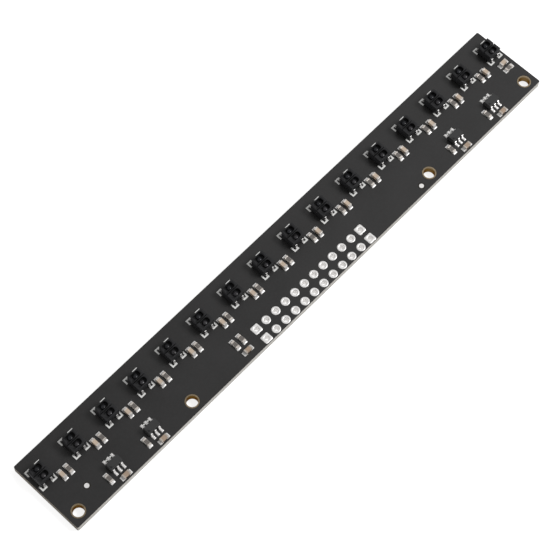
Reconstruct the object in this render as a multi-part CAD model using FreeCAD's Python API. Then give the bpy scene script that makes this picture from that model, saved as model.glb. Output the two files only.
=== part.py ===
import FreeCAD, Part
import math
import os

# Sixteen-channel reflectance sensor board, in millimetres.
# Origin: centre of the board's underside. X runs along the row of sensors, Y across the
# board towards the sensor edge, Z up through the component side.

V = FreeCAD.Vector
UP = V(0, 0, 1)

# Board
BOARD_LENGTH = 124.5
BOARD_WIDTH = 16.0
BOARD_THICKNESS = 1.6
BOARD_CORNER_R = 0.3
MASK_THICKNESS = 0.04
MASK_GAP = 0.05
SILK_THICKNESS = 0.02
COAT_THICKNESS = 0.03

# Mounting holes, for M2 screws
MOUNT_X_OUTER = 60.0
MOUNT_X_INNER = 32.0
MOUNT_Y = -5.83
MOUNT_HOLE_R = 1.1
MOUNT_RING_R = 1.35
MOUNT_PLATE = 0.05

# Header footprint: two rows of plated holes on a 2.54 mm grid
PIN_PITCH = 2.54
PINS_PER_ROW = 12
HEADER_Y_INNER = -4.45
PIN_HOLE_R = 0.5
PIN_PLATE = 0.04
PIN_PAD_R = 0.86
PIN_SQUARE = 1.76

# Sensors
SENSOR_COUNT = 16
SENSOR_PITCH = 8.0
SENSOR_Y = 3.45
HOUSING_X = 3.0
HOUSING_Y = 3.3
HOUSING_Z = 1.85
HOUSING_STANDOFF = 0.1
HOUSING_EDGE_R = 0.1
HOUSING_CHAMFER = 0.35
POCKET_X = 1.9
POCKET_Y = 1.2
POCKET_DEPTH = 0.6
POCKET_R = 0.45
GROOVE_WIDTH = 0.2
GROOVE_DEPTH = 0.45
WINDOW_Y = 0.83
LENS_R = 0.5
LENS_RIM = 0.1
LENS_HEIGHT = 0.42

# Bent leads: width, thickness, height and length of the shoulder, reach past the body, and
# how far the pad runs past the lead's tip
SENSOR_LEAD = {
    "width": 0.38, "thick": 0.15, "exit": 0.6, "out": 0.17, "reach": 0.42, "pad_past": 0.02,
}
IC_LEAD = {
    "width": 0.38, "thick": 0.14, "exit": 0.6, "out": 0.2, "reach": 0.6, "pad_past": 0.45,
}
SENSOR_LEAD_X = 0.85
LEAD_BEND_R = 0.13
LEAD_PAD_MARGIN = 0.06

# Six-lead driver chips
IC_X = (-49.8, -40.55, 41.2, 51.8)
IC_Y = -4.3
IC_BODY_X = 2.9
IC_BODY_Y = 1.6
IC_BODY_Z = 1.2
IC_STANDOFF = 0.1
IC_LEAD_PITCH = 0.95
IC_DRAFT = 0.08
IC_EDGE_R = 0.06
IC_MARK_R = 0.16
IC_MARK_DEPTH = 0.05
IC_MARK_INSET = 0.36

# Two-terminal chip parts, length along their own axis
CHIP_LENGTH = 1.6
CHIP_WIDTH = 0.8
CAPACITOR_HEIGHT = 0.8
RESISTOR_HEIGHT = 0.45
TERMINAL_LENGTH = 0.35
TERMINAL_WALL = 0.03
CHIP_PAD_REACH = 0.4
CHIP_PAD_WIDTH = 0.9
CHIP_EDGE_R = 0.05
SOLDER_RISE = 0.7
SOLDER_WAIST = 0.4

# Channel parts stand in pairs on the +X side of each sensor but the last
PAIR_X = (2.62, 4.18)
PAIR_Y = -2.65
FIRST_SWAPPED_CHANNEL = 9
LAST_PAIR_X = 60.2
LAST_CAPACITOR_Y = -0.3
LAST_RESISTOR_Y = -1.75

# Parts beside each driver chip, with X from the chip's middle, and beside the header
SUPPORT_CAPACITOR = (0.05, -7.2)
SUPPORT_RESISTOR = (-2.5, -5.55)
HEADER_CAPACITOR = (-18.1, -6.25)
HEADER_RESISTORS = ((-18.95, -3.85), (-17.3, -3.85))

# Silkscreen
TICK_HALF_X = 1.77
TICK_HALF_Y = 2.41
TICK_ARM = 1.15
TICK_LINE = 0.3
DASH_LENGTH = 0.36
DASH_LINE = 0.3
DASH_FROM_IC_Y = 1.5
SILK_LINE = 0.2
HEADER_FRAME_GAP = 0.25
SILK_EDGE_GAP = 0.4
FIDUCIALS = ((-55.8, -3.6), (28.9, -6.6))
FIDUCIAL_R = 0.46
FIDUCIAL_CLEAR_R = 0.7

TOP = BOARD_THICKNESS
EPS = 0.01


def sensor_xs():
    first = -SENSOR_PITCH * (SENSOR_COUNT - 1) / 2
    return [first + SENSOR_PITCH * i for i in range(SENSOR_COUNT)]


def mount_places():
    return [(x, MOUNT_Y) for x in (-MOUNT_X_OUTER, -MOUNT_X_INNER, MOUNT_X_INNER, MOUNT_X_OUTER)]


def pin_xs():
    first = -PIN_PITCH * (PINS_PER_ROW - 1) / 2
    return [first + PIN_PITCH * i for i in range(PINS_PER_ROW)]


def header_ys():
    return (HEADER_Y_INNER, HEADER_Y_INNER - PIN_PITCH)


def is_square_pin(index):
    return index in (0, PINS_PER_ROW - 1)


# Each chip part is (x, y, turned), where turned means that it lies along X
def channel_chips():
    capacitors = []
    resistors = []
    for number, x in enumerate(sensor_xs()[:-1], 1):
        near, far = [(x + dx, SENSOR_Y + PAIR_Y, False) for dx in PAIR_X]
        swapped = number >= FIRST_SWAPPED_CHANNEL
        capacitors.append(far if swapped else near)
        resistors.append(near if swapped else far)
    capacitors.append((LAST_PAIR_X, LAST_CAPACITOR_Y, True))
    resistors.append((LAST_PAIR_X, LAST_RESISTOR_Y, True))
    return capacitors, resistors


def support_chips():
    capacitors = [(x + SUPPORT_CAPACITOR[0], SUPPORT_CAPACITOR[1], True) for x in IC_X]
    resistors = [(x + SUPPORT_RESISTOR[0], SUPPORT_RESISTOR[1], False) for x in IC_X]
    capacitors.append((*HEADER_CAPACITOR, True))
    resistors += [(*place, False) for place in HEADER_RESISTORS]
    return capacitors, resistors


def lead_rows():
    """Every row of leads: (x of each lead, y of the body's face, outward sign, lead sizes)."""
    rows = []
    for x in sensor_xs():
        xs = [x - SENSOR_LEAD_X, x + SENSOR_LEAD_X]
        rows += [(xs, SENSOR_Y + s * HOUSING_Y / 2, s, SENSOR_LEAD) for s in (-1, 1)]
    for x in IC_X:
        xs = [x + IC_LEAD_PITCH * i for i in (-1, 0, 1)]
        rows += [(xs, IC_Y + s * IC_BODY_Y / 2, s, IC_LEAD) for s in (-1, 1)]
    return rows


def box(x, y, z, sx, sy, sz):
    """A box centred on x, y that stands on z."""
    return Part.makeBox(sx, sy, sz, V(x - sx / 2, y - sy / 2, z))


def rectangle(x, y, sx, sy, z):
    corners = [(-1, -1), (1, -1), (1, 1), (-1, 1), (-1, -1)]
    return Part.makePolygon([V(x + i * sx / 2, y + j * sy / 2, z) for i, j in corners])


def circle(x, y, r, z):
    return Part.Wire(Part.makeCircle(r, V(x, y, z), UP))


def rounded_rectangle(x, y, sx, sy, r, z):
    """A closed wire with four round corners."""
    hx, hy = sx / 2 - r, sy / 2 - r
    edges = []
    turns = [(1, 1, 0), (-1, 1, 90), (-1, -1, 180), (1, -1, 270)]
    for i, j, start in turns:
        edges.append(Part.makeCircle(r, V(x + i * hx, y + j * hy, z), UP, start, start + 90))
    ends = [(e.Vertexes[0].Point, e.Vertexes[1].Point) for e in edges]
    for k in range(4):
        edges.append(Part.makeLine(ends[k][1], ends[(k + 1) % 4][0]))
    return Part.Wire(Part.__sortEdges__(edges))


def plate(outer, holes, thickness):
    """A flat plate from its outline and the outlines of its holes."""
    face = Part.makeFace([outer] + holes, "Part::FaceMakerBullseye")
    return face.extrude(V(0, 0, thickness))


def export(name, shapes):
    """Writes one node, from one solid or a group of separate solids."""
    solids = []
    for shape in shapes:
        solids += shape.Solids
    shape = solids[0] if len(solids) == 1 else Part.makeCompound(solids)
    shape.exportStep("parts/" + name + ".step")
    print(name, len(solids), "valid" if shape.isValid() else "NOT VALID")


def pin_outline(x, y, index, grow, z):
    if is_square_pin(index):
        return rectangle(x, y, PIN_SQUARE + 2 * grow, PIN_SQUARE + 2 * grow, z)
    return circle(x, y, PIN_PAD_R + grow, z)


def board_outline(z):
    return rounded_rectangle(0, 0, BOARD_LENGTH, BOARD_WIDTH, BOARD_CORNER_R, z)


def core():
    z = MASK_THICKNESS
    holes = [circle(x, y, MOUNT_HOLE_R + MOUNT_PLATE, z) for x, y in mount_places()]
    holes += [circle(x, y, PIN_HOLE_R + PIN_PLATE, z) for y in header_ys() for x in pin_xs()]
    return plate(board_outline(z), holes, BOARD_THICKNESS - 2 * MASK_THICKNESS)


def through_hole_windows(z):
    windows = [circle(x, y, MOUNT_RING_R + MASK_GAP, z) for x, y in mount_places()]
    for y in header_ys():
        windows += [pin_outline(x, y, i, MASK_GAP, z) for i, x in enumerate(pin_xs())]
    return windows


def chip_pads():
    pads = []
    middle = CHIP_LENGTH / 2 - TERMINAL_LENGTH / 2 + CHIP_PAD_REACH / 2
    length = TERMINAL_LENGTH + CHIP_PAD_REACH
    for group in channel_chips() + support_chips():
        for x, y, turned in group:
            for s in (-1, 1):
                if turned:
                    pads.append((x + s * middle, y, length, CHIP_PAD_WIDTH))
                else:
                    pads.append((x, y + s * middle, CHIP_PAD_WIDTH, length))
    return pads


def lead_pads():
    pads = []
    for xs, face_y, sign, lead in lead_rows():
        length = lead["reach"] + lead["pad_past"]
        width = lead["width"] + 2 * LEAD_PAD_MARGIN
        pads += [(x, face_y + sign * length / 2, width, length) for x in xs]
    return pads


def top_mask():
    z = TOP - MASK_THICKNESS
    windows = through_hole_windows(z)
    windows += [circle(x, y, FIDUCIAL_CLEAR_R, z) for x, y in FIDUCIALS]
    windows += [rectangle(x, y, sx, sy, z) for x, y, sx, sy in chip_pads() + lead_pads()]
    return plate(board_outline(z), windows, MASK_THICKNESS)


def bottom_marks():
    """Printed lines of the underside: a bracket round the header and a dash below each sensor."""
    half = PIN_PITCH * PINS_PER_ROW / 2 + HEADER_FRAME_GAP
    inner = HEADER_Y_INNER + PIN_PITCH / 2
    outer = SILK_EDGE_GAP - BOARD_WIDTH / 2
    marks = [(0, inner, 2 * half + SILK_LINE, SILK_LINE)]
    length = inner - SILK_LINE / 2 - outer
    marks += [(s * half, outer + length / 2, SILK_LINE, length) for s in (-1, 1)]
    return marks + [(x, SENSOR_Y, SILK_LINE, TICK_ARM) for x in sensor_xs()]


def bottom_silkscreen():
    return [box(x, y, 0, sx, sy, SILK_THICKNESS) for x, y, sx, sy in bottom_marks()]


def bottom_mask():
    """The lower mask, with shallow beds for the printed lines so that the face stays flat."""
    mask = plate(board_outline(0), through_hole_windows(0), MASK_THICKNESS)
    return mask.cut(bottom_silkscreen())


def surface_pads():
    z = TOP - MASK_THICKNESS
    return [box(x, y, z, sx, sy, MASK_THICKNESS) for x, y, sx, sy in chip_pads() + lead_pads()]


def barrel(x, y, hole_r, wall, outlines):
    """A plated hole: a thin tube through the board with a flat land at each face."""
    tube = plate(circle(x, y, hole_r + wall, 0), [circle(x, y, hole_r, 0)], TOP)
    lands = []
    for z, outline in zip((0, TOP - MASK_THICKNESS), outlines):
        lands.append(plate(outline, [circle(x, y, hole_r, z)], MASK_THICKNESS))
    return tube.fuse(lands).removeSplitter()


def mount_barrel(x, y):
    rings = [circle(x, y, MOUNT_RING_R, z) for z in (0, TOP - MASK_THICKNESS)]
    return barrel(x, y, MOUNT_HOLE_R, MOUNT_PLATE, rings)


def pin_barrel(x, y, index):
    lands = [pin_outline(x, y, index, 0, z) for z in (0, TOP - MASK_THICKNESS)]
    return barrel(x, y, PIN_HOLE_R, PIN_PLATE, lands)


def corner_tick(x, y, i, j, z):
    """An L-shaped line whose corner is at x, y, with arms towards i and j."""
    points = [(0, 0), (TICK_ARM, 0), (TICK_ARM, TICK_LINE), (TICK_LINE, TICK_LINE)]
    points += [(TICK_LINE, TICK_ARM), (0, TICK_ARM), (0, 0)]
    outline = Part.makePolygon([V(x + i * a, y + j * b, z) for a, b in points])
    return plate(outline, [], SILK_THICKNESS)


def top_silkscreen():
    marks = []
    for x in sensor_xs():
        for i in (-1, 1):
            for j in (-1, 1):
                corner = (x + i * TICK_HALF_X, SENSOR_Y + j * TICK_HALF_Y)
                marks.append(corner_tick(*corner, -i, -j, TOP))
    for x in IC_X:
        for s in (-1, 1):
            place = (x + s * IC_LEAD_PITCH / 2, IC_Y + DASH_FROM_IC_Y)
            marks.append(box(*place, TOP, DASH_LENGTH, DASH_LINE, SILK_THICKNESS))
    return marks


def fiducial(x, y):
    return Part.makeCylinder(FIDUCIAL_R, MASK_THICKNESS, V(x, y, TOP - MASK_THICKNESS))


def housing(x):
    """A sensor's black body: two windows in the top, parted by a groove."""
    base = TOP + HOUSING_STANDOFF
    body = box(x, SENSOR_Y, base, HOUSING_X, HOUSING_Y, HOUSING_Z)
    uprights = [e for e in body.Edges if abs(e.tangentAt(e.FirstParameter).z) > 0.9]
    marked = [e for e in uprights if e.CenterOfMass.x < x and e.CenterOfMass.y > SENSOR_Y]
    plain = [e for e in uprights if e not in marked]
    body = body.makeChamfer(HOUSING_CHAMFER, marked)
    corners = [e.CenterOfMass for e in plain]
    upright = [e for e in body.Edges if any((e.CenterOfMass - c).Length < EPS for c in corners)]
    body = body.makeFillet(HOUSING_EDGE_R, upright)
    floor = base + HOUSING_Z - POCKET_DEPTH
    for s in (-1, 1):
        outline = rounded_rectangle(
            x, SENSOR_Y + s * WINDOW_Y, POCKET_X, POCKET_Y, POCKET_R, floor
        )
        body = body.cut(plate(outline, [], POCKET_DEPTH + 1))
    groove = box(x, SENSOR_Y, base + HOUSING_Z - GROOVE_DEPTH, HOUSING_X + 1, GROOVE_WIDTH, 1)
    return body.cut(groove)


def lens(x, side):
    """A short round post with a domed top, on the floor of a window."""
    floor = TOP + HOUSING_STANDOFF + HOUSING_Z - POCKET_DEPTH
    rise = LENS_HEIGHT - LENS_RIM
    sphere_r = (LENS_R**2 + rise**2) / (2 * rise)
    centre = V(x, SENSOR_Y + side * WINDOW_Y, floor + LENS_HEIGHT - sphere_r)
    post = Part.makeCylinder(LENS_R, LENS_HEIGHT, V(centre.x, centre.y, floor))
    return post.common(Part.makeSphere(sphere_r, centre))


def bent_lead(x, face_y, sign, lead):
    """A strip that leaves a body's side, bends down and ends in a flat foot on its pad."""
    t, out, reach = lead["thick"], lead["out"], lead["reach"]
    middle = lead["exit"] + t / 2
    tight, wide = LEAD_BEND_R - t / 2, LEAD_BEND_R + t / 2
    upper = (out - LEAD_BEND_R, middle - LEAD_BEND_R)
    lower = (out + LEAD_BEND_R, t / 2 + LEAD_BEND_R)

    def place(a, b):
        return V(x - lead["width"] / 2, face_y + sign * a, TOP + b)

    def bend(centre, r, i, j):
        a, b = centre
        slant = r / math.sqrt(2)
        points = [place(a, b + j * r), place(a + i * slant, b + j * slant), place(a + i * r, b)]
        return Part.Arc(*points).toShape()

    arcs = [bend(upper, wide, 1, 1), bend(lower, tight, -1, -1)]
    arcs += [bend(lower, wide, -1, -1), bend(upper, tight, 1, 1)]
    body_end = [place(0, middle + t / 2), place(0, middle - t / 2)]
    foot_end = [place(reach, t), place(reach, 0)]
    lines = [
        Part.makeLine(body_end[0], place(upper[0], middle + t / 2)),
        Part.makeLine(place(out + t / 2, upper[1]), place(out + t / 2, lower[1])),
        Part.makeLine(place(lower[0], t), foot_end[0]),
        Part.makeLine(*foot_end),
        Part.makeLine(foot_end[1], place(lower[0], 0)),
        Part.makeLine(place(out - t / 2, lower[1]), place(out - t / 2, upper[1])),
        Part.makeLine(place(upper[0], middle - t / 2), body_end[1]),
        Part.makeLine(*body_end),
    ]
    outline = Part.Wire(Part.__sortEdges__(arcs + lines))
    return Part.Face(outline).extrude(V(lead["width"], 0, 0))


def leads(rows):
    return [bent_lead(x, y, s, lead) for xs, y, s, lead in rows for x in xs]


def ic_body(x):
    """A moulded body that narrows above and below the line of its leads."""
    base = TOP + IC_STANDOFF
    seam = TOP + IC_LEAD["exit"] + IC_LEAD["thick"] / 2
    top = base + IC_BODY_Z
    small = (IC_BODY_X - 2 * IC_DRAFT, IC_BODY_Y - 2 * IC_DRAFT)
    wires = [
        rectangle(x, IC_Y, *small, base),
        rectangle(x, IC_Y, IC_BODY_X, IC_BODY_Y, seam),
        rectangle(x, IC_Y, *small, top),
    ]
    lower = Part.makeLoft(wires[:2], True, True)
    upper = Part.makeLoft(wires[1:], True, True)
    body = lower.fuse(upper).removeSplitter()
    body = body.makeFillet(IC_EDGE_R, [e for e in body.Edges if e.BoundBox.ZMin > seam - EPS])
    mark = V(x - small[0] / 2 + IC_MARK_INSET, IC_Y - small[1] / 2 + IC_MARK_INSET, top)
    return body.cut(Part.makeCylinder(IC_MARK_R, IC_MARK_DEPTH, mark, V(0, 0, -1)))


def placed(shape, x, y, turned):
    """A copy of a chip part's piece, modelled along Y at the origin, put in its place."""
    copy = shape.copy()
    if turned:
        copy.rotate(V(0, 0, 0), UP, -90)
    copy.translate(V(x, y, TOP))
    return copy


def chip_body(height):
    """The ceramic block between the two terminals, thinner than they are by their wall."""
    width = CHIP_WIDTH - 2 * TERMINAL_WALL
    length = CHIP_LENGTH - 2 * TERMINAL_LENGTH
    return box(0, 0, TERMINAL_WALL, width, length, height - 2 * TERMINAL_WALL)


def chip_terminal(height, side):
    y = side * (CHIP_LENGTH - TERMINAL_LENGTH) / 2
    block = box(0, y, 0, CHIP_WIDTH, TERMINAL_LENGTH, height)
    return block.makeFillet(CHIP_EDGE_R, block.Edges)


def resistor_coat():
    """The dark glass over the resistor's element."""
    length = CHIP_LENGTH - 2 * TERMINAL_LENGTH
    z = RESISTOR_HEIGHT - TERMINAL_WALL
    return box(0, 0, z, CHIP_WIDTH - 4 * TERMINAL_WALL, length, COAT_THICKNESS)


def solder_wedge(height, side):
    """Solder that climbs a terminal's end from the outer part of its pad, hollow in front."""
    inner = CHIP_LENGTH / 2
    reach, rise = CHIP_PAD_REACH, height * SOLDER_RISE
    start = V(0, side * inner, 0)
    foot = V(0, side * (inner + reach), 0)
    head = V(0, side * inner, rise)
    waist = V(0, side * (inner + reach * SOLDER_WAIST), rise * SOLDER_WAIST)
    curve = Part.Arc(foot, waist, head).toShape()
    outline = Part.Wire([Part.makeLine(start, foot), curve, Part.makeLine(head, start)])
    width = CHIP_WIDTH - 2 * CHIP_EDGE_R
    return Part.Face(outline).extrude(V(width, 0, 0)).translated(V(-width / 2, 0, 0))


def spread(shapes, places):
    return [placed(shape, *place) for place in places for shape in shapes]


def export_board():
    export("pcb_core", [core()])
    export("solder_mask_top", [top_mask()])
    export("solder_mask_bottom", [bottom_mask()])
    export("surface_pads", surface_pads())
    export("silkscreen_top", top_silkscreen())
    export("silkscreen_bottom", bottom_silkscreen())
    for name, place in zip(("fiducial_left", "fiducial_right"), FIDUCIALS):
        export(name, [fiducial(*place)])
    for number, place in enumerate(mount_places(), 1):
        export(f"mounting_hole_plating_{number}", [mount_barrel(*place)])
    for name, y in zip(("header_plating_inner_row", "header_plating_outer_row"), header_ys()):
        export(name, [pin_barrel(x, y, i) for i, x in enumerate(pin_xs())])


def export_sensors():
    for number, x in enumerate(sensor_xs(), 1):
        export(f"sensor_housing_{number:02d}", [housing(x)])
    export("emitter_lenses", [lens(x, 1) for x in sensor_xs()])
    export("detector_lenses", [lens(x, -1) for x in sensor_xs()])
    sensor_rows = [row for row in lead_rows() if row[3] is SENSOR_LEAD]
    export("sensor_leads", leads(sensor_rows))


def export_drivers():
    ic_rows = [row for row in lead_rows() if row[3] is IC_LEAD]
    for number, x in enumerate(IC_X, 1):
        export(f"driver_ic_{number}", [ic_body(x)])
        export(f"driver_ic_leads_{number}", leads(ic_rows[2 * number - 2:2 * number]))


def export_chips(prefix, capacitors, resistors):
    sides = (-1, 1)
    tall = [chip_terminal(CAPACITOR_HEIGHT, s) for s in sides]
    low = [chip_terminal(RESISTOR_HEIGHT, s) for s in sides]
    export(f"{prefix}_capacitor_bodies", spread([chip_body(CAPACITOR_HEIGHT)], capacitors))
    export(f"{prefix}_capacitor_terminals", spread(tall, capacitors))
    export(f"{prefix}_resistor_bodies", spread([chip_body(RESISTOR_HEIGHT)], resistors))
    export(f"{prefix}_resistor_coats", spread([resistor_coat()], resistors))
    export(f"{prefix}_resistor_terminals", spread(low, resistors))
    solder = spread([solder_wedge(CAPACITOR_HEIGHT, s) for s in sides], capacitors)
    solder += spread([solder_wedge(RESISTOR_HEIGHT, s) for s in sides], resistors)
    export(f"{prefix}_solder_joints", solder)


os.makedirs("parts", exist_ok=True)
export_board()
export_sensors()
export_drivers()
export_chips("channel", *channel_chips())
export_chips("support", *support_chips())
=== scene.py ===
import math

import bmesh
import bpy
from mathutils import Euler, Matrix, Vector


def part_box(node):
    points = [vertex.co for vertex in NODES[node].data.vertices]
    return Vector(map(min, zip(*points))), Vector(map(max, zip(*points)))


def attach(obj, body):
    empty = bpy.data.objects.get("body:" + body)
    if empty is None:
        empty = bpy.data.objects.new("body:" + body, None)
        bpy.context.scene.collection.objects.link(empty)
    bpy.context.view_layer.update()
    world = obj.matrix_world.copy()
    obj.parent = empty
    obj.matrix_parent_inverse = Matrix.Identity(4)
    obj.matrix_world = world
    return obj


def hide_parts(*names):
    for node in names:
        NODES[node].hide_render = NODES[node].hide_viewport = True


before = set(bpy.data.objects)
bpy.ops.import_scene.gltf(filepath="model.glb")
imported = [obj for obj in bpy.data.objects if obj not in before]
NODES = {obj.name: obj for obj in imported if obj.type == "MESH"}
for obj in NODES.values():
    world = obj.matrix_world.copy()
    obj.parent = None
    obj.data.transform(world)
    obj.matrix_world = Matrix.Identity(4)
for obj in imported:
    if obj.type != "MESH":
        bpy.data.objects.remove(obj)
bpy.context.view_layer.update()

MM = 0.001
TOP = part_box("solder_mask_top")[1].z
HOUSINGS = sorted(n for n in NODES if n.startswith("sensor_housing"))
DRIVERS = sorted(n for n in NODES if n.startswith("driver_ic_") and "leads" not in n)
DRIVER_LEADS = sorted(n for n in NODES if n.startswith("driver_ic_leads"))
MOUNT_PLATING = sorted(n for n in NODES if n.startswith("mounting_hole_plating"))

# Camera: what it looks at, from where, and how it is turned
AIM = Vector((-3.90, -0.84, 1.69)) * MM
VIEW_HEADING = math.radians(39.386)
VIEW_ELEVATION = math.radians(64.62)
VIEW_DISTANCE = 333.75 * MM
VIEW_ROLL = math.radians(4.107)
FOCAL_LENGTH_MM = 117.37
FILM_WIDTH_MM = 36

# Stage, in metres. Each soft box is (name, place, size, watts)
FLOOR_SIZE = 8.0
FLOOR_OFFSET = 1.0
FLOOR_GAP = 0.05 * MM
FLOOR_GREY = 0.5
FLOOR_GLOW = 0.78
WORLD_STRENGTH = 0.42
SOFT_BOXES = (
    ("key", (0.55, -0.45, 0.75), 0.35, 6.6),
    ("back", (0.50, 0.25, 0.80), 0.5, 0.35),
)

# Sensor housing, in millimetres. OVERSHOOT is how far a cutter stands out of what it cuts
POCKET = {"x": 1.9, "y": 1.2, "r": 0.45, "depth": 0.6, "from_middle": 0.83}
GROOVE = {"width": 0.2, "depth": 0.45}
LEAD_SLOT = {"x": 0.85, "width": 0.62, "depth": 0.07, "top": 0.95, "r": 0.02}
HOUSING_CHAMFER = 0.35
HOUSING_BEVEL = 0.06
OVERSHOOT = 1.0

# Lens, as shares of its radius and of its height. Its chamfer is in millimetres
LENS_RADII = {"foot": 0.98, "tip": 0.04}
LENS_LEVELS = {"post_top": 0.2, "dome_start": 0.24}
LENS_CHAMFER = 0.02

# Plated header holes, in millimetres. The profiles run across a land, from 0 at the hole to 1 at
# the rim, with the tin's thickness there as a share of the most
PIN = {"hole": 0.5, "wall": 0.54, "skin": 0.04}
TIN_COAT = 0.03
TIN_DOME = 0.06
TOP_TIN = [(0, -0.02), (0.05, 0.3), (0.18, 0.7), (0.4, 1), (0.65, 0.95), (0.85, 0.6), (0.96, 0.15)]
BOTTOM_TIN = [(0.97, 0.5), (0.85, 0.85), (0.6, 1), (0.3, 0.95), (0.1, 0.6), (0, 0.0)]
TIN_EDGE_DROP = 0.01

# Solder fillets at the chip parts. The margin, added to the width, and the toe's thickness are in
# millimetres. A higher power makes the face more hollow. The sides are shorter and lower by these
# shares, and the end at the wall is this share of the width
FILLET_MARGIN = 0.1
FILLET_TOE = 0.015
FILLET_POWER = 2.3
FILLET_SIDES = {"shorter": 0.3, "lower": 0.2}
FILLET_WALL_WIDTH = 0.9

# Solder mounds under the bent leads, in millimetres. The margin is added to a lead's width. The
# profile is pairs of shares: of the width and length, and of the height
MOUND_MARGIN = 0.11
MOUND_PROFILE = [(1, 0), (0.985, 0.25), (0.94, 0.55), (0.84, 0.8), (0.62, 0.95), (0.3, 1)]
SENSOR_MOUND = {"under_foot": 0.2, "past_tip": 0.02, "height": 0.08}
DRIVER_MOUND = {"under_foot": 0.32, "past_tip": 0.41, "height": 0.12}

# Meshes: from what angle an edge counts as sharp, and how near two points count as one
SHARP_ANGLE = math.radians(40)
HOUSING_SHARP_ANGLE = math.radians(35)
SAME_POINT = 0.002 * MM


# ---------------------------------------------------------------- materials

class Surface:
    """A material whose colour, roughness and relief come from procedural textures."""

    def __init__(self, name, **values):
        """values are for the shader's own sockets, with _ in their names for each space."""
        self.material = bpy.data.materials.new(name)
        self.material.use_nodes = True
        self.tree = self.material.node_tree
        self.shader = self.tree.nodes["Principled BSDF"]
        for socket, value in values.items():
            self.shader.inputs[socket.replace("_", " ")].default_value = value
        self.place = self.node("ShaderNodeTexCoord").outputs["Object"]

    def node(self, kind, **settings):
        made = self.tree.nodes.new(kind)
        for key, value in settings.items():
            setattr(made, key, value)
        return made

    def link(self, output, socket):
        self.tree.links.new(output, socket)

    def stretched(self, x, y, z):
        """The texture place, squeezed by these factors, so that grain runs along one axis."""
        mapping = self.node("ShaderNodeMapping")
        mapping.inputs["Scale"].default_value = (x, y, z)
        self.link(self.place, mapping.inputs["Vector"])
        return mapping.outputs["Vector"]

    def noise(self, size_mm, detail=3.0, rough=0.55, place=None):
        """Noise whose features are about size_mm across."""
        made = self.node("ShaderNodeTexNoise")
        made.inputs["Scale"].default_value = 1 / (size_mm * MM)
        made.inputs["Detail"].default_value = detail
        made.inputs["Roughness"].default_value = rough
        self.link(place or self.place, made.inputs["Vector"])
        return made.outputs["Fac"]

    def spread(self, value, low, high, start=0.3, end=0.7):
        """value mapped from start..end to low..high."""
        made = self.node("ShaderNodeMapRange")
        made.inputs["From Min"].default_value = start
        made.inputs["From Max"].default_value = end
        made.inputs["To Min"].default_value = low
        made.inputs["To Max"].default_value = high
        self.link(value, made.inputs["Value"])
        return made.outputs["Result"]

    def mixed(self, share, first, second):
        """Between two colours, each a tuple or another node's output."""
        made = self.node("ShaderNodeMix", data_type="RGBA")
        colours = [s for s in made.inputs if s.type == "RGBA"]
        self.link(share, made.inputs["Factor"])
        for socket, colour in zip(colours, (first, second)):
            if isinstance(colour, tuple):
                socket.default_value = (*colour, 1)
            else:
                self.link(colour, socket)
        return next(s for s in made.outputs if s.type == "RGBA")

    def facing(self, axis):
        """1 where the surface faces along this axis, either way, and 0 elsewhere."""
        parts = self.node("ShaderNodeSeparateXYZ")
        self.link(self.node("ShaderNodeNewGeometry").outputs["Normal"], parts.inputs["Vector"])
        size = self.node("ShaderNodeMath", operation="ABSOLUTE")
        self.link(parts.outputs[axis], size.inputs[0])
        return self.spread(size.outputs[0], 0, 1, start=0.8, end=0.95)

    def paler_edges(self, amount):
        """Up to this amount on outward edges, where the colour is made paler."""
        pointed = self.node("ShaderNodeNewGeometry").outputs["Pointiness"]
        return self.spread(pointed, 0.0, amount, start=0.52, end=0.6)

    def colour(self, output):
        self.link(output, self.shader.inputs["Base Color"])

    def roughness(self, output):
        self.link(output, self.shader.inputs["Roughness"])

    def relief(self, height, depth_mm, strength, under=None):
        """Bumps depth_mm deep, on top of the relief under them, if any."""
        made = self.node("ShaderNodeBump")
        made.inputs["Strength"].default_value = strength
        made.inputs["Distance"].default_value = depth_mm * MM
        self.link(height, made.inputs["Height"])
        if under is not None:
            self.link(under, made.inputs["Normal"])
        self.link(made.outputs["Normal"], self.shader.inputs["Normal"])
        return made.outputs["Normal"]


def laminate():
    """Glass-epoxy: pale layers of woven glass along the routed long edges, painted shade that makes
    both end walls brown and darker, and nearly black on the flat faces, which the mask covers.
    """
    s = Surface("glass_epoxy", IOR=1.5)
    layers = s.noise(1.6, detail=3, rough=0.6, place=s.stretched(0.07, 0.07, 9.0))
    bundles = s.noise(0.5, detail=4, rough=0.7, place=s.stretched(1.0, 1.0, 3.0))
    resin = s.mixed(s.spread(layers, 0, 1), (0.31, 0.29, 0.265), (0.53, 0.515, 0.485))
    dark_bundles = s.spread(bundles, 0, 0.7, start=0.5, end=0.75)
    cut = s.mixed(dark_bundles, resin, (0.19, 0.165, 0.135))
    # Painted shade: the end walls, which face X, get this darker brown in place of the pale layers
    painted_end_shade = s.mixed(s.spread(bundles, 0, 1), (0.17, 0.145, 0.115), (0.105, 0.085, 0.06))
    uncut = s.mixed(s.spread(bundles, 0, 1), (0.014, 0.012, 0.009), (0.024, 0.02, 0.014))
    edges = s.mixed(s.facing("X"), cut, painted_end_shade)
    s.colour(s.mixed(s.facing("Z"), edges, uncut))
    s.roughness(s.spread(bundles, 0.7, 0.95))
    coarse = s.relief(layers, 0.05, 0.7)
    s.relief(s.noise(0.12), 0.02, 0.6, under=coarse)
    return s.material


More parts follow.
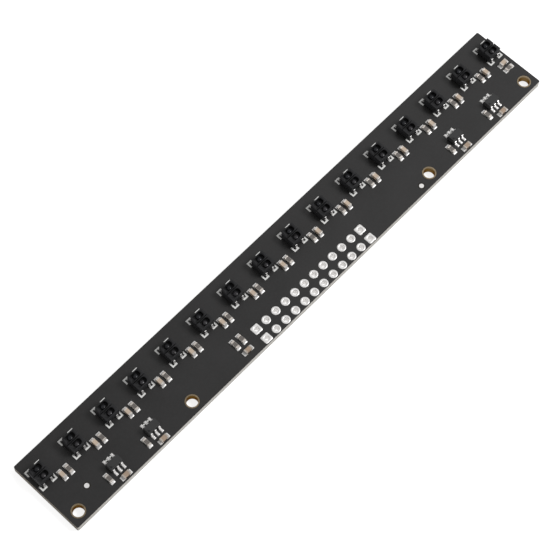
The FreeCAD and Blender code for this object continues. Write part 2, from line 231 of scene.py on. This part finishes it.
def solder_mask():
    """Black solder resist: satin, very slightly uneven, with a fine orange peel."""
    s = Surface("black_solder_mask", IOR=1.5)
    patches = s.noise(9.0, detail=4, rough=0.6)
    fine = s.noise(0.5, detail=4, rough=0.6)
    base = s.mixed(s.spread(patches, 0, 1), (0.0125, 0.012, 0.0118), (0.0185, 0.0175, 0.0178))
    pale_specks = s.spread(fine, 0, 0.35, start=0.45, end=0.8)
    s.colour(s.mixed(pale_specks, base, (0.028, 0.027, 0.027)))
    s.roughness(s.spread(patches, 0.34, 0.46))
    peel = s.relief(s.noise(0.7, detail=2), 0.012, 0.35)
    s.relief(s.noise(0.09, detail=2), 0.004, 0.4, under=peel)
    return s.material


def ink():
    """White printed ink, a little thin and porous in places."""
    s = Surface("white_ink", IOR=1.45)
    pores = s.noise(0.12, detail=4, rough=0.7)
    cover = s.spread(pores, 0, 1, start=0.25, end=0.6)
    s.colour(s.mixed(cover, (0.62, 0.62, 0.60), (0.87, 0.87, 0.85)))
    s.roughness(s.spread(pores, 0.55, 0.8))
    s.relief(pores, 0.01, 0.5)
    return s.material


def tin(name, greys, roughness, metal, lump_mm, lump_depth, warmth=0.015):
    """Tin or solder, cloudy and lumpy. greys and roughness are (least, most)."""
    s = Surface(name, Metallic=metal)
    cloud = s.noise(lump_mm, detail=4, rough=0.6)
    tint = Vector((1, 1 - warmth, 1 - 2 * warmth))
    s.colour(s.mixed(s.spread(cloud, 0, 1), *(tuple(tint * grey) for grey in greys)))
    s.roughness(s.spread(s.noise(lump_mm * 0.4), *roughness))
    lumps = s.relief(cloud, lump_depth, 0.5)
    s.relief(s.noise(0.06, detail=2), 0.003, 0.5, under=lumps)
    return s.material


def gold():
    """Gold over nickel on the mounting holes, with painted shade darker and browner down the barrel."""
    s = Surface("gold_plating", Metallic=1.0, Specular_Tint=(0.3, 0.24, 0.17, 1))
    cloud = s.noise(0.6, detail=4, rough=0.6)
    fade = 0.5 * MM
    height = s.node("ShaderNodeSeparateXYZ")
    s.link(s.place, height.inputs["Vector"])
    # Painted shade: 0 at the top face, 1 from half a millimetre down the barrel, for the darker, browner
    # colour
    depth = s.spread(height.outputs["Z"], 1, 0, start=TOP - fade, end=TOP)
    face = s.mixed(s.spread(cloud, 0, 1), (0.26, 0.205, 0.14), (0.38, 0.305, 0.205))
    s.colour(s.mixed(depth, face, (0.19, 0.125, 0.06)))
    s.roughness(s.spread(cloud, 0.25, 0.45))
    s.relief(s.noise(0.15), 0.008, 0.6)
    return s.material


def moulded(name, base, edge_colour, roughness, grain_mm, gloss):
    """Black moulded plastic: fine spark-eroded grain, paler on its outward edges."""
    s = Surface(name, IOR=1.5, Specular_IOR_Level=gloss)
    patches = s.noise(0.8)
    paler = tuple(c * 1.5 for c in base)
    body = s.mixed(s.spread(patches, 0, 1), base, paler)
    # Outward edges, found by pointiness, turn up to 0.7 of the way to the paler edge colour
    s.colour(s.mixed(s.paler_edges(0.7), body, edge_colour))
    s.roughness(s.spread(patches, roughness - 0.08, roughness + 0.08))
    s.relief(s.noise(grain_mm, rough=0.7), 0.012, 0.6)
    return s.material


def lens_resin(name, dark, pale, gloss):
    """Dark dyed epoxy, with slow swirls between its two colours."""
    s = Surface(name, IOR=1.5, Specular_IOR_Level=gloss)
    swirl = s.noise(0.5, detail=2)
    s.colour(s.mixed(s.spread(swirl, 0, 1), dark, pale))
    s.roughness(s.spread(s.noise(0.2, detail=2), 0.22, 0.36))
    s.relief(s.noise(0.25, detail=2), 0.004, 0.3)
    return s.material


def ceramic(name, base, fleck, roughness):
    """Fired ceramic or glaze: fine-grained, with flecks of another colour."""
    s = Surface(name, IOR=1.6)
    grain = s.noise(0.1, detail=4, rough=0.7)
    patches = s.noise(0.6, detail=2)
    darker = tuple(c * 0.86 for c in base)
    tone = s.mixed(s.spread(patches, 0, 1), base, darker)
    s.colour(s.mixed(s.spread(grain, 0, 0.6, start=0.5, end=0.8), tone, fleck))
    s.roughness(s.spread(grain, roughness - 0.1, roughness + 0.1))
    s.relief(grain, 0.008, 0.5)
    return s.material


LAMINATE = laminate()
MASK = solder_mask()
INK = ink()
PAD_TIN = tin(
    "tinned_copper", greys=(0.84, 0.95), roughness=(0.35, 0.5), metal=0.4, lump_mm=0.5, lump_depth=0.02,
)
SOLDER = tin(
    "bright_solder", greys=(0.86, 0.96), roughness=(0.26, 0.42), metal=0.5, lump_mm=0.35, lump_depth=0.02,
)
LEAD_TIN = tin(
    "tinned_lead", greys=(0.8, 0.92), roughness=(0.28, 0.42), metal=0.65, lump_mm=0.3, lump_depth=0.008,
)
SENSOR_LEAD_TIN = tin(
    "sensor_lead_tin", greys=(0.34, 0.5), roughness=(0.34, 0.5), metal=0.85, lump_mm=0.3, lump_depth=0.008,
)
TERMINAL_TIN = tin(
    "terminal_tin", greys=(0.60, 0.75), roughness=(0.36, 0.52), metal=0.6, lump_mm=0.25, lump_depth=0.01,
    warmth=0.07,
)
SUPPORT_TERMINAL_TIN = tin(
    "support_terminal_tin", greys=(0.44, 0.6), roughness=(0.36, 0.52), metal=0.6, lump_mm=0.25,
    lump_depth=0.01, warmth=0.1,
)
GOLD = gold()
HOUSING_PLASTIC = moulded(
    "sensor_plastic", (0.0045, 0.0045, 0.005), edge_colour=(0.03, 0.03, 0.032),
    roughness=0.62, grain_mm=0.07, gloss=0.22,
)
CHIP_PLASTIC = moulded(
    "chip_plastic", (0.0105, 0.0105, 0.011), edge_colour=(0.045, 0.045, 0.045),
    roughness=0.58, grain_mm=0.09, gloss=0.35,
)
EMITTER_RESIN = lens_resin("emitter_lens", (0.01, 0.0105, 0.012), (0.024, 0.025, 0.029), gloss=0.25)
DETECTOR_RESIN = lens_resin("detector_lens", (0.012, 0.011, 0.012), (0.042, 0.04, 0.045), gloss=0.4)
CAPACITOR = ceramic("capacitor_ceramic", (0.62, 0.50, 0.39), fleck=(0.45, 0.34, 0.25), roughness=0.5)
SUPPORT_CAPACITOR = ceramic(
    "support_capacitor_ceramic", (0.42, 0.31, 0.225), fleck=(0.3, 0.21, 0.15), roughness=0.5,
)
ALUMINA = ceramic("resistor_ceramic", (0.78, 0.76, 0.71), fleck=(0.6, 0.58, 0.54), roughness=0.6)
GLAZE = ceramic("resistor_glaze", (0.15, 0.132, 0.12), fleck=(0.24, 0.22, 0.2), roughness=0.3)

# Each group of chip parts, with its capacitors' ceramic and the tin of their terminals
CHIP_PART_LOOKS = (
    ("channel", CAPACITOR, TERMINAL_TIN),
    ("support", SUPPORT_CAPACITOR, SUPPORT_TERMINAL_TIN),
)


# ---------------------------------------------------------------- pieces and shapes
# A shape is a pair: its points, and its faces as lists of indices of points

def paint(material, *names):
    """Gives CAD nodes that stay visible their material."""
    for name in names:
        for slot in NODES[name].material_slots:
            slot.material = material


def piece(name, mesh, material, slot, *replaced):
    """A new visible piece that rides on the board and may stand for CAD nodes."""
    made = bpy.data.objects.new(name, mesh)
    bpy.context.scene.collection.objects.link(made)
    mesh.materials.append(material)
    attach(made, "root")
    if replaced:
        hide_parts(*replaced)


def mesh_of(name, shape, unit=MM, smooth=True):
    """A mesh from a shape whose points are in this unit, with its faces turned outwards."""
    vertices, faces = shape
    bm = bmesh.new()
    points = [bm.verts.new(Vector(v) * unit) for v in vertices]
    for face in faces:
        bm.faces.new([points[i] for i in face])
    bmesh.ops.recalc_face_normals(bm, faces=bm.faces)
    mesh = bpy.data.meshes.new(name)
    bm.to_mesh(mesh)
    bm.free()
    if smooth:
        mesh.shade_smooth()
        mesh.set_sharp_from_angle(angle=SHARP_ANGLE)
    return mesh


def placed(shape, x, y, z, turn=0.0):
    """A shape turned about Z and then moved."""
    vertices, faces = shape
    spin = Euler((0, 0, turn)).to_matrix()
    return [spin @ Vector(v) + Vector((x, y, z)) for v in vertices], faces


def joined(shapes):
    """Several shapes as one."""
    vertices, faces = [], []
    for more_vertices, more_faces in shapes:
        start = len(vertices)
        vertices += more_vertices
        faces += [[start + i for i in face] for face in more_faces]
    return vertices, faces


def ring_loft(rings, closed=False):
    """A shape from rings of points, each joined to the next. closed joins the last to the first.
    Otherwise both ends are capped.
    """
    count = len(rings[0])
    vertices = [p for ring in rings for p in ring]
    faces = []
    steps = len(rings) if closed else len(rings) - 1
    for a in range(steps):
        b = (a + 1) % len(rings)
        for i in range(count):
            j = (i + 1) % count
            faces.append([a * count + i, a * count + j, b * count + j, b * count + i])
    if not closed:
        faces.append(list(range(count)))
        faces.append([(len(rings) - 1) * count + i for i in range(count)])
    return vertices, faces


def prism(outline, low, high):
    """A shape with the same outline of (x, y) points from one height to another."""
    return ring_loft([[(x, y, z) for x, y in outline] for z in (low, high)])


def circle_ring(r, z, count=40):
    """Points round the Z axis, with none in line with X or Y."""
    turns = [2 * math.pi * (i + 0.5) / count for i in range(count)]
    return [(r * math.cos(a), r * math.sin(a), z) for a in turns]


def square_ring(half, z, count=40, power=9):
    """A square with softly rounded corners, with as many points as circle_ring gives."""
    ring = []
    for x, y, _ in circle_ring(1, 0, count):
        reach = (abs(x) ** power + abs(y) ** power) ** (-1 / power)
        ring.append((half * x * reach, half * y * reach, z))
    return ring


def rounded_outline(cx, cy, sx, sy, r, steps=6):
    """Points round a rectangle with round corners."""
    points = []
    for k, (i, j) in enumerate([(1, 1), (-1, 1), (-1, -1), (1, -1)]):
        for n in range(steps + 1):
            a = math.pi / 2 * (k + n / steps)
            x = cx + i * (sx / 2 - r) + r * math.cos(a)
            points.append((x, cy + j * (sy / 2 - r) + r * math.sin(a)))
    return points


def islands(node):
    """The boxes of a CAD node's separate solids, as lowest and highest corners in millimetres."""
    bm = bmesh.new()
    bm.from_mesh(NODES[node].data)
    bmesh.ops.remove_doubles(bm, verts=bm.verts, dist=SAME_POINT)
    waiting, boxes = set(bm.verts), []
    while waiting:
        stack = [waiting.pop()]
        low, high = Vector(stack[0].co), Vector(stack[0].co)
        while stack:
            vertex = stack.pop()
            low = Vector(map(min, low, vertex.co))
            high = Vector(map(max, high, vertex.co))
            for edge in vertex.link_edges:
                other = edge.other_vert(vertex)
                if other in waiting:
                    waiting.remove(other)
                    stack.append(other)
        boxes.append((low / MM, high / MM))
    bm.free()
    return sorted(boxes, key=lambda b: tuple(round(c, 3) for c in b[0]))


def middle(box):
    return (box[0] + box[1]) / 2


def outward(box, bodies):
    """The turn about Z that makes +Y point from the nearest body's middle towards this box."""
    here = middle(box)
    away = min((here - middle(b) for b in bodies), key=lambda gap: gap.length)
    if abs(away.y) >= abs(away.x):
        return 0.0 if away.y > 0 else math.pi
    return -math.pi / 2 if away.x > 0 else math.pi / 2


# ---------------------------------------------------------------- sensors

def carve(name, solid, cutters, bevel):
    """A solid less its cutters, with its sharp edges softened. Shapes, bevel and result are in mm."""
    def temporary(shape):
        made = bpy.data.objects.new("temporary", mesh_of("temporary", shape, unit=1.0, smooth=False))
        bpy.context.scene.collection.objects.link(made)
        return made

    body = temporary(solid)
    knives = [temporary(c) for c in cutters]
    for knife in knives:
        cut = body.modifiers.new("cut", "BOOLEAN")
        cut.operation = "DIFFERENCE"
        cut.solver = "EXACT"
        cut.object = knife
    soften = body.modifiers.new("soften", "BEVEL")
    soften.width = bevel
    soften.segments = 3
    soften.limit_method = "ANGLE"
    soften.angle_limit = HOUSING_SHARP_ANGLE
    bpy.context.view_layer.update()
    result = bpy.data.meshes.new_from_object(
        body.evaluated_get(bpy.context.evaluated_depsgraph_get())
    )
    result.name = name
    for extra in [body, *knives]:
        bpy.data.objects.remove(extra)
    return result


def housing_mesh():
    """The sensor's body about its own middle: chamfered corner, two windows, groove, lead slots."""
    low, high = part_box(HOUSINGS[0])
    size = (high - low) / MM
    hx, hy, hz = size / 2
    over = hz + OVERSHOOT
    c = HOUSING_CHAMFER
    outline = [(-hx, -hy), (hx, -hy), (hx, hy), (-hx + c, hy), (-hx, hy - c)]
    body = prism(outline, -hz, hz)
    cutters = []
    for side in (-1, 1):
        y = side * POCKET["from_middle"]
        window = rounded_outline(0, y, POCKET["x"], POCKET["y"], POCKET["r"])
        cutters.append(prism(window, hz - POCKET["depth"], over))
        for x in (-LEAD_SLOT["x"], LEAD_SLOT["x"]):
            across = (LEAD_SLOT["width"], 2 * LEAD_SLOT["depth"])
            slot = rounded_outline(x, side * hy, *across, LEAD_SLOT["r"], steps=1)
            cutters.append(prism(slot, -over, LEAD_SLOT["top"] - hz))
    half = GROOVE["width"] / 2
    end = hx + OVERSHOOT
    groove = [(-end, -half), (end, -half), (end, half), (-end, half)]
    cutters.append(prism(groove, hz - GROOVE["depth"], over))
    return carve("sensor_housing", body, cutters, HOUSING_BEVEL)


def make_housings():
    """One detailed housing, copied to the middle of each CAD housing."""
    shared = housing_mesh()
    for node in HOUSINGS:
        centre = middle(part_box(node))
        mesh = shared.copy()
        moved = [c for v in shared.vertices for c in (v.co * MM + centre)]
        mesh.vertices.foreach_set("co", moved)
        mesh.update()
        mesh.shade_smooth()
        mesh.set_sharp_from_angle(angle=HOUSING_SHARP_ANGLE)
        piece("housing_" + node[-2:], mesh, HOUSING_PLASTIC, "sensor_plastic", node)
    bpy.data.meshes.remove(shared)


def lens_shape(box, steps=9):
    """A post with a chamfered foot and a domed top, about its own middle."""
    size = box[1] - box[0]
    r, h = size.x / 2, size.z
    start = LENS_LEVELS["dome_start"]
    profile = [(LENS_RADII["foot"] * r, 0), (r, LENS_CHAMFER), (r, LENS_LEVELS["post_top"] * h)]
    for k in range(steps):
        a = math.pi / 2 * k / steps
        profile.append((r * math.cos(a), h * (start + (1 - start) * math.sin(a))))
    profile.append((LENS_RADII["tip"] * r, h))
    return ring_loft([circle_ring(radius, z - h / 2) for radius, z in profile])


def make_lenses():
    """Domed lenses, one piece for each kind, in place of the CAD ones."""
    for node, material in (("emitter_lenses", EMITTER_RESIN), ("detector_lenses", DETECTOR_RESIN)):
        boxes = islands(node)
        lens = lens_shape(boxes[0])
        domes = joined(placed(lens, *middle(b)) for b in boxes)
        slot = node.replace("lenses", "lens")
        piece(slot + "_domes", mesh_of(node, domes), material, slot, node)


# ---------------------------------------------------------------- plating and solder

def plated_pin(half, square):
    """A tinned hole about its axis: thin barrel, lands at both faces, tin domed on the top one."""
    skin, top = PIN["skin"], TOP / MM
    hole, wall = PIN["hole"] - TIN_COAT, PIN["wall"]

    def ring(share, z):
        """share runs from 0 at the hole to 1 at the land's rim, half away from the axis."""
        reach = hole + (half - hole) * share
        round_one = circle_ring(reach, z)
        if not square:
            return round_one
        pairs = zip(round_one, square_ring(reach, z))
        return [tuple(a + (b - a) * share for a, b in zip(p, q)) for p, q in pairs]

    rings = [ring(share, top + rise * TIN_DOME) for share, rise in TOP_TIN]
    rings += [ring(1, top - TIN_EDGE_DROP), ring(1, top - skin)]
    rings += [circle_ring(wall, top - skin), circle_ring(wall, skin)]
    rings += [ring(1, skin)]
    rings += [ring(share, skin * (1 - rise)) for share, rise in BOTTOM_TIN]
    return ring_loft(rings, closed=True)


def make_header():
    """Tinned holes in place of the CAD barrels. The lands at both ends of a row are square."""
    for node in ("header_plating_inner_row", "header_plating_outer_row"):
        boxes = islands(node)
        shapes = []
        for square, group in ((True, [boxes[0], boxes[-1]]), (False, boxes[1:-1])):
            pin = plated_pin((group[0][1].x - group[0][0].x) / 2, square)
            shapes += [placed(pin, middle(b).x, middle(b).y, 0) for b in group]
        name = node.replace("plating", "tinned_holes")
        piece(name, mesh_of(name, joined(shapes)), PAD_TIN, "tinned_copper", node)


def meniscus(width, reach, rise, across=10, along=8):
    """Solder that climbs a wall at y=0 from a pad that runs along +Y, hollow and narrowing upwards."""
    wall = FILLET_WALL_WIDTH
    upper, lower = [], []
    for i in range(across + 1):
        u = 2 * i / across - 1
        length = reach * (1 - FILLET_SIDES["shorter"] * abs(u) ** 4)
        height = rise * (1 - FILLET_SIDES["lower"] * abs(u) ** 3)
        for j in range(along + 1):
            v = j / along
            x = u * width / 2 * (wall + (1 - wall) * v)
            y = length * v
            z = FILLET_TOE + (height - FILLET_TOE) * (1 - v) ** FILLET_POWER
            upper.append((x, y, z))
            lower.append((x, y, 0))
    count = along + 1
    total = len(upper)
    faces = []
    for i in range(across):
        for j in range(along):
            quad = [i * count + j, (i + 1) * count + j, (i + 1) * count + j + 1, i * count + j + 1]
            faces.append(quad)
            faces.append([total + k for k in reversed(quad)])
    rim = [i * count for i in range(across + 1)]
    rim += [across * count + j for j in range(1, count)]
    rim += [i * count + along for i in range(across - 1, -1, -1)]
    rim += [j for j in range(along - 1, 0, -1)]
    for a, b in zip(rim, rim[1:] + rim[:1]):
        faces.append([a, b, total + b, total + a])
    return upper + lower, faces


def make_chip_solder(prefix):
    """A hollow fillet at every chip terminal, in place of the CAD wedges."""
    bodies = islands(prefix + "_capacitor_bodies") + islands(prefix + "_resistor_bodies")
    fillets = []
    for box in islands(prefix + "_solder_joints"):
        turn = outward(box, bodies)
        size = box[1] - box[0]
        along_x = abs(math.sin(turn)) > 0.5
        width, reach = (size.y, size.x) if along_x else (size.x, size.y)
        back = Euler((0, 0, turn)).to_matrix() @ Vector((0, -reach / 2, 0))
        start = middle(box) + back
        fillet = meniscus(width + FILLET_MARGIN, reach, size.z)
        fillets.append(placed(fillet, start.x, start.y, box[0].z, turn))
    name = prefix + "_solder"
    piece(name, mesh_of(name, joined(fillets)), SOLDER, "solder", prefix + "_solder_joints")


def mound(sx, sy, height):
    """A low cushion of solder on a pad."""
    rings = []
    for share, rise in MOUND_PROFILE:
        unit = square_ring(share, 0, count=24, power=5)
        rings.append([(x * sx / 2, y * sy / 2, rise * height) for x, y, _ in unit])
    return ring_loft(rings)


def make_lead_solder(name, lead_nodes, body_nodes, under_foot, past_tip, height):
    """A low mound of solder under every bent lead's foot that runs past its tip."""
    bodies = [tuple(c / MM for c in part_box(n)) for n in body_nodes]
    length = under_foot + past_tip
    mounds = []
    for box in [b for node in lead_nodes for b in islands(node)]:
        sign = 1 if outward(box, bodies) == 0 else -1
        tip = box[1].y if sign > 0 else box[0].y
        y = tip + sign * (past_tip - length / 2)
        cushion = mound(box[1].x - box[0].x + MOUND_MARGIN, length, height)
        mounds.append(placed(cushion, middle(box).x, y, TOP / MM))
    piece(name, mesh_of(name, joined(mounds)), SOLDER, "solder")


# ---------------------------------------------------------------- stage

def make_stage():
    """A pale floor just under the board. It glows a little, and from below it can be seen through.
    Its middle is off to one side, so that no edge between its triangles passes under the board.
    """
    bpy.ops.mesh.primitive_plane_add(size=FLOOR_SIZE, location=(FLOOR_OFFSET, 0, -FLOOR_GAP))
    floor = bpy.context.object
    floor.name = "floor"
    surface = Surface(
        "pale_floor", Base_Color=(FLOOR_GREY, FLOOR_GREY, FLOOR_GREY, 1), Roughness=0.9,
        Specular_IOR_Level=0.1, Emission_Color=(1, 1, 1, 1), Emission_Strength=FLOOR_GLOW,
    )
    either = surface.node("ShaderNodeMixShader")
    below = surface.node("ShaderNodeNewGeometry").outputs["Backfacing"]
    surface.link(below, either.inputs["Fac"])
    surface.link(surface.shader.outputs["BSDF"], either.inputs[1])
    surface.link(surface.node("ShaderNodeBsdfTransparent").outputs["BSDF"], either.inputs[2])
    surface.link(either.outputs["Shader"], surface.tree.nodes["Material Output"].inputs["Surface"])
    floor.data.materials.append(surface.material)


def make_world():
    world = bpy.data.worlds.new("studio")
    world.use_nodes = True
    background = world.node_tree.nodes["Background"]
    background.inputs["Color"].default_value = (1, 1, 1, 1)
    background.inputs["Strength"].default_value = WORLD_STRENGTH
    bpy.context.scene.world = world


def make_light(name, place, size, watts):
    """A square soft box that faces the board's middle."""
    data = bpy.data.lights.new(name, "AREA")
    data.size = size
    data.energy = watts
    light = bpy.data.objects.new(name, data)
    light.location = place
    light.rotation_euler = (-Vector(place)).to_track_quat("-Z", "Y").to_euler()
    bpy.context.scene.collection.objects.link(light)


def make_camera():
    """Looks down at the board from its near left, turned so that the board lies across the frame."""
    data = bpy.data.cameras.new("camera")
    data.sensor_width = FILM_WIDTH_MM
    data.lens = FOCAL_LENGTH_MM
    data.clip_start = 0.01
    data.clip_end = 20
    camera = bpy.data.objects.new("camera", data)
    flat = math.cos(VIEW_ELEVATION)
    ahead = Vector((math.cos(VIEW_HEADING) * flat, math.sin(VIEW_HEADING) * flat, 0))
    ahead.z = -math.sin(VIEW_ELEVATION)
    camera.location = AIM - ahead * VIEW_DISTANCE
    camera.rotation_euler = ahead.to_track_quat("-Z", "Y").to_euler()
    bpy.context.scene.collection.objects.link(camera)
    camera.rotation_euler.rotate_axis("Z", VIEW_ROLL)
    bpy.context.scene.camera = camera


# ---------------------------------------------------------------- the board

paint(LAMINATE, "pcb_core")
paint(MASK, "solder_mask_top", "solder_mask_bottom")
paint(INK, "silkscreen_top", "silkscreen_bottom")
paint(PAD_TIN, "surface_pads", "fiducial_left", "fiducial_right")
paint(GOLD, *MOUNT_PLATING)
paint(SENSOR_LEAD_TIN, "sensor_leads")
paint(LEAD_TIN, *DRIVER_LEADS)
paint(CHIP_PLASTIC, *DRIVERS)
for group, clay, cap_tin in CHIP_PART_LOOKS:
    paint(clay, group + "_capacitor_bodies")
    paint(cap_tin, group + "_capacitor_terminals")
    paint(ALUMINA, group + "_resistor_bodies")
    paint(GLAZE, group + "_resistor_coats")
    paint(TERMINAL_TIN, group + "_resistor_terminals")
    make_chip_solder(group)

make_housings()
make_lenses()
make_header()
make_lead_solder("sensor_lead_solder", ["sensor_leads"], HOUSINGS, **SENSOR_MOUND)
make_lead_solder("driver_lead_solder", DRIVER_LEADS, DRIVERS, **DRIVER_MOUND)

make_stage()
make_world()
for soft_box in SOFT_BOXES:
    make_light(*soft_box)
make_camera()
bpy.context.scene.view_settings.view_transform = "Standard"
